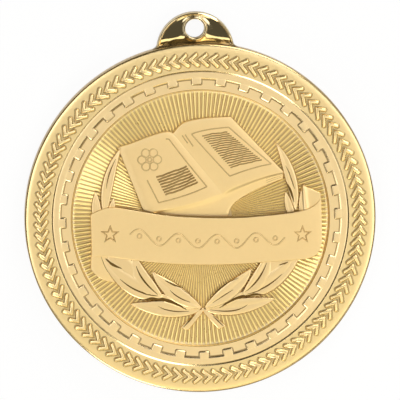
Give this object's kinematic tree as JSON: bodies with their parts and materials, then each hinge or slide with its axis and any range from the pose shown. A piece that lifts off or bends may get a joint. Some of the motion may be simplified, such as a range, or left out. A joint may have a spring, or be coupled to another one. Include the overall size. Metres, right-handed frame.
{
  "type": "academic medallion",
  "caption": "Round die-cast medal with an open book, ribbon banner, laurel and stars in relief inside a chevron rim, and a drilled hanging ear on top.",
  "frame": {"origin": "centre of the disc on the plane of its back", "axes": "+Z out of the face, +Y from the disc's centre to the hanging ear, +X to the right of the face"},
  "size_m": [0.0508, 0.0553, 0.003],
  "materials": {
    "gold_plate": "satin gold plate, polished on the ear and the rim's edge"
  },
  "bodies": {
    "root": {"medallion": "gold_plate"}
  },
  "joints": []
}
